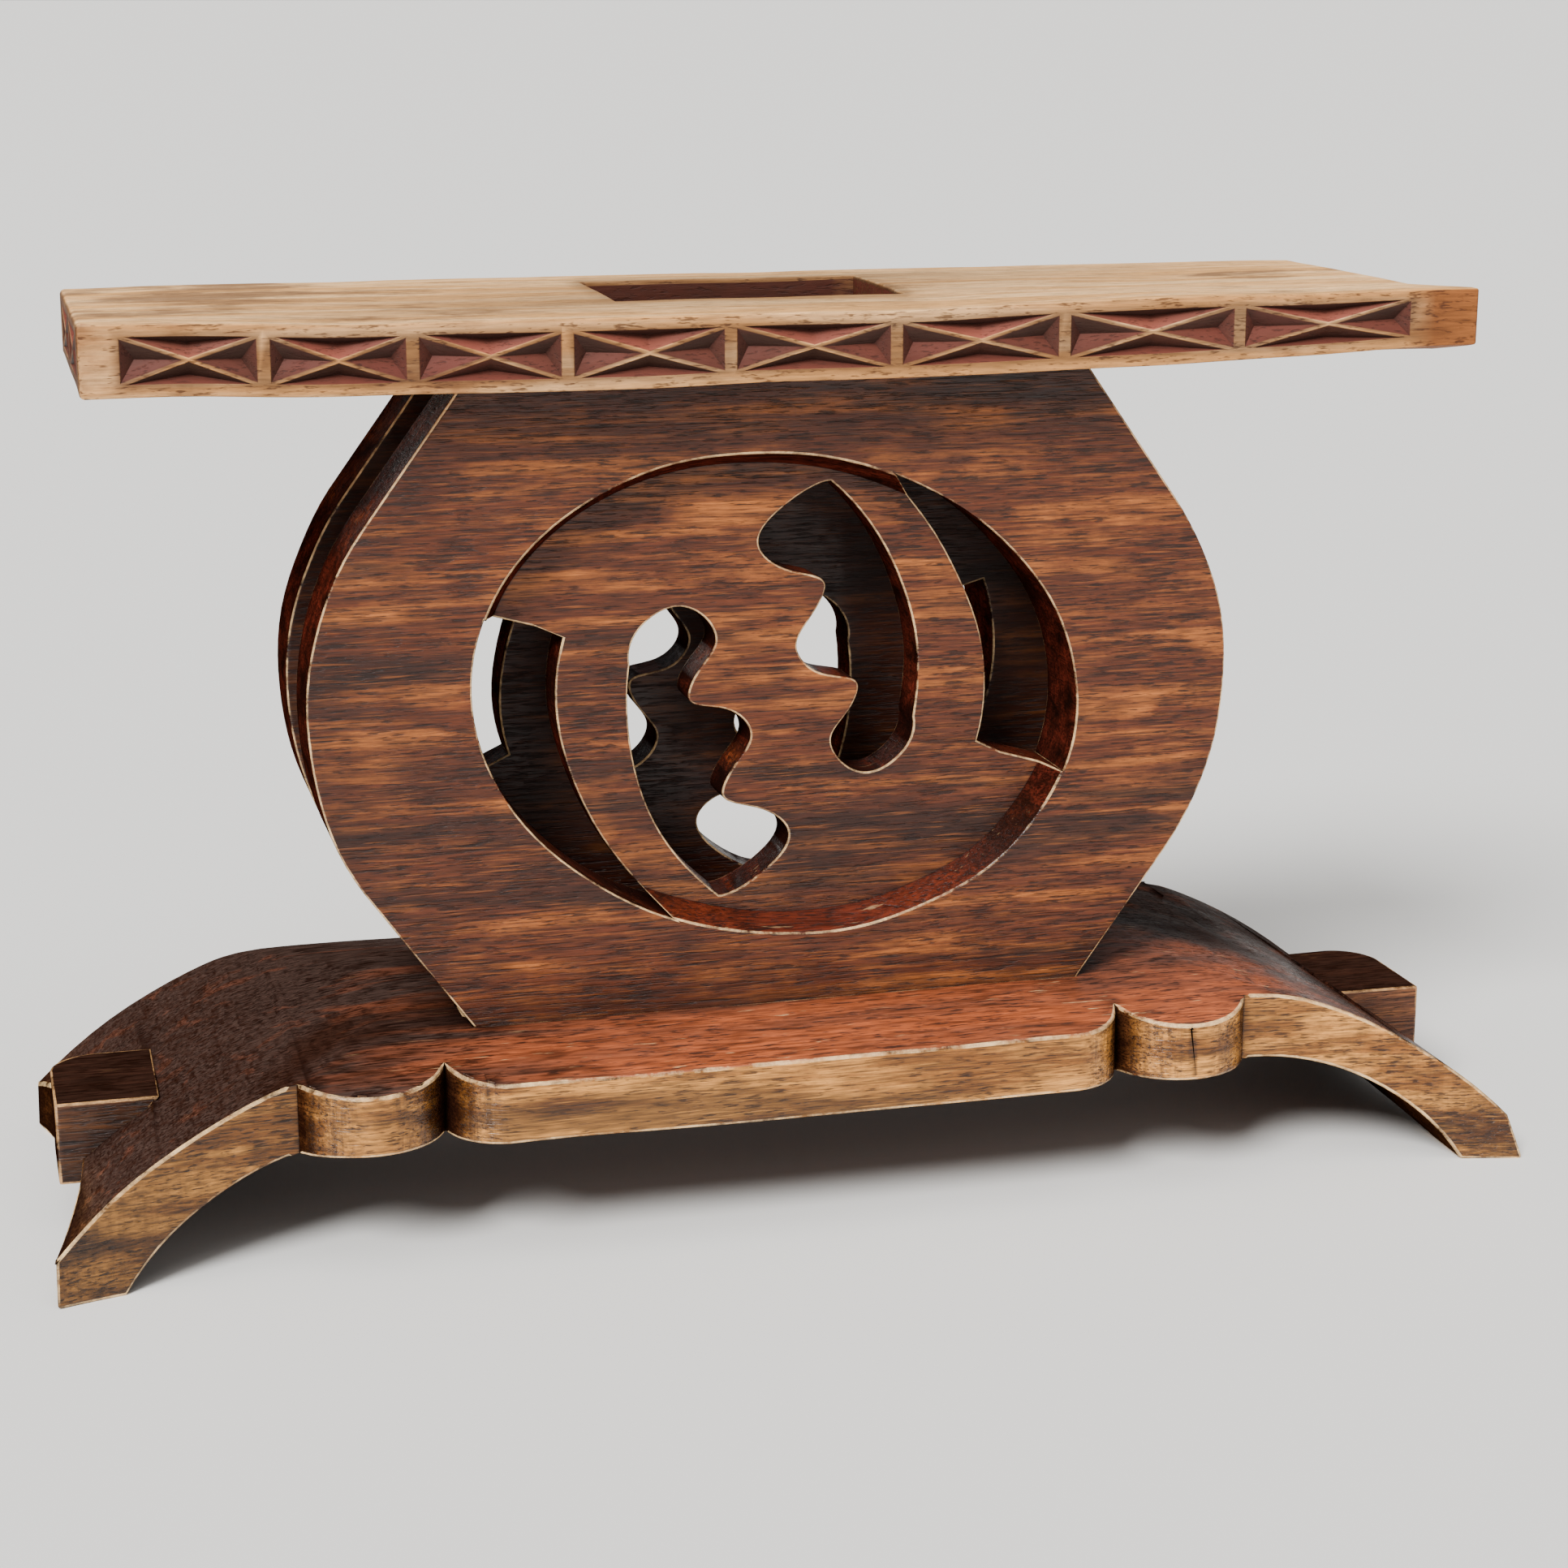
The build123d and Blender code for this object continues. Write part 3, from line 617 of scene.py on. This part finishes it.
# The bottoms of the cuts are painted darker from ambient occlusion: painted shade.
open_air = node(tree, "AmbientOcclusion", {"Distance": 0.005}, 1, samples=4)
sunk_shade = node(
    tree, "MapRange", {"Value": open_air, "From Min": 0.4, "From Max": 0.85, "To Min": 0.85, "To Max": 0},
)
sunk_shade = node(tree, "Math", {0: sunk_shade, 1: stained}, operation="MULTIPLY")
colour = node(tree, "Mix", {0: sunk_shade, 6: colour, 7: linear("#240D09")}, 2, data_type="RGBA")
pore_share = node(
    tree, "MapRange", {"Value": edge_up, "From Min": 0.3, "From Max": 0.9, "To Min": 0.75, "To Max": 0.4},
)
pore_share = node(tree, "Math", {0: pore, 1: pore_share}, operation="MULTIPLY")
colour = node(tree, "Mix", {0: pore_share, 6: colour, 7: linear("#3A1C10")}, 2, data_type="RGBA")
# Inner corners are painted darker still: painted shade.
lee = node(tree, "Attribute", {}, 2, attribute_name="lee")
crease_shade_share = node(tree, "Math", {0: lee, 1: 0.6}, operation="MULTIPLY")
colour = node(tree, "Mix", {0: crease_shade_share, 6: colour, 7: linear("#2E1712")}, 2, data_type="RGBA")
# Bare wood hardly shines, and the dirty left end not at all.
dry_sheen = node(tree, "MapRange", {"Value": left_side, "To Min": 0.22, "To Max": 0})
grit = node(tree, "Math", {0: pore, 1: -0.6, 2: fibre}, operation="MULTIPLY_ADD")
tooled = node(tree, "Mapping", {0: place, 3: per_metre(30, 15, 12)})
hand_cut = node(tree, "TexNoise", {0: tooled, "Scale": 1, "Detail": 2, "Roughness": 0.4})
slow = node(tree, "Bump", {"Strength": 0.7, "Distance": 0.0015, "Height": hand_cut})
relief = node(tree, "Bump", {"Strength": 0.7, "Distance": 0.0002, "Height": grit, "Normal": slow})
wood = node(
    tree, "BsdfPrincipled",
    {
        "Base Color": colour, "Roughness": 0.62, "Normal": relief, "IOR": 1.5,
        "Specular IOR Level": dry_sheen,
    },
)
node(tree, "OutputMaterial", {0: wood})
finished_piece(board_mesh, "board", "top_board", raw_wood)


# --- Dowels -----------------------------------------------------------------------------------------
# Round pegs that hold the pieces together, turned from plain straight-grained wood and hidden.
dowel_wood = stained_wood(
    "plain_dowel_wood", golden="#C9A274", brown="#B48A5C", dark="#7A5636", bare="#DDBB90",
    top_near="#C9A274", top_far="#C09768", wall_red="#C09768", wear=0.3, gloss=0.5,
)
for name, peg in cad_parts.items():
    if name.endswith("dowels"):
        peg.data.materials.clear()
        peg.data.materials.append(dowel_wood)
        peg.data.polygons.foreach_set("material_index", [0] * len(peg.data.polygons))


# --- Floor, light and camera ------------------------------------------------------------------------
# A plain pale floor, a soft key light above and to the left of the front, a weak fill from the right,
# and a long lens that looks down on the carved front from the left.
floor_mesh = bmesh.new()
bmesh.ops.create_grid(floor_mesh, x_segments=1, y_segments=1, size=400)
floor_data = bpy.data.meshes.new("floor")
floor_mesh.to_mesh(floor_data)
floor_mesh.free()
floor = bpy.data.objects.new("floor", floor_data)
bpy.context.scene.collection.objects.link(floor)
floor_paint = bpy.data.materials.new("matt_pale_floor_paint")
floor_paint.use_nodes = True
floor_paint.node_tree.nodes["Principled BSDF"].inputs["Base Color"].default_value = linear("#E8E6E2")
floor_paint.node_tree.nodes["Principled BSDF"].inputs["Roughness"].default_value = 0.9
floor_data.materials.append(floor_paint)

world = bpy.data.worlds.new("studio")
world.use_nodes = True
world.node_tree.nodes["Background"].inputs["Color"].default_value = linear("#F6F6F6")
world.node_tree.nodes["Background"].inputs["Strength"].default_value = 0.28
bpy.context.scene.world = world

for name, comes_from, softness, strength in (
    ("key", (-1.1, -1.25, 1.5), 22, 5.2),
    ("top", (-0.3, -0.6, 1.8), 60, 1.6),
    ("fill", (1.2, -1.8, 0.8), 50, 0.25),
):
    lamp = bpy.data.lights.new(name, "SUN")
    lamp.angle = radians(softness)
    lamp.energy = strength
    lamp_object = bpy.data.objects.new(name, lamp)
    lamp_object.location = comes_from
    lamp_object.rotation_euler = (-Vector(comes_from)).to_track_quat("-Z", "Y").to_euler()
    bpy.context.scene.collection.objects.link(lamp_object)

camera_data = bpy.data.cameras.new("camera")
camera_data.sensor_width = 36
camera_data.lens = 70.71
camera = bpy.data.objects.new("camera", camera_data)
camera.location = (-0.22999, -0.87593, 0.34657)
yaw = radians(14.98)
pitch = radians(14.33)
outlook = Vector((sin(yaw) * cos(pitch), cos(yaw) * cos(pitch), -sin(pitch)))
camera.rotation_euler = outlook.to_track_quat("-Z", "Y").to_euler()
bpy.context.scene.collection.objects.link(camera)
bpy.context.scene.camera = camera
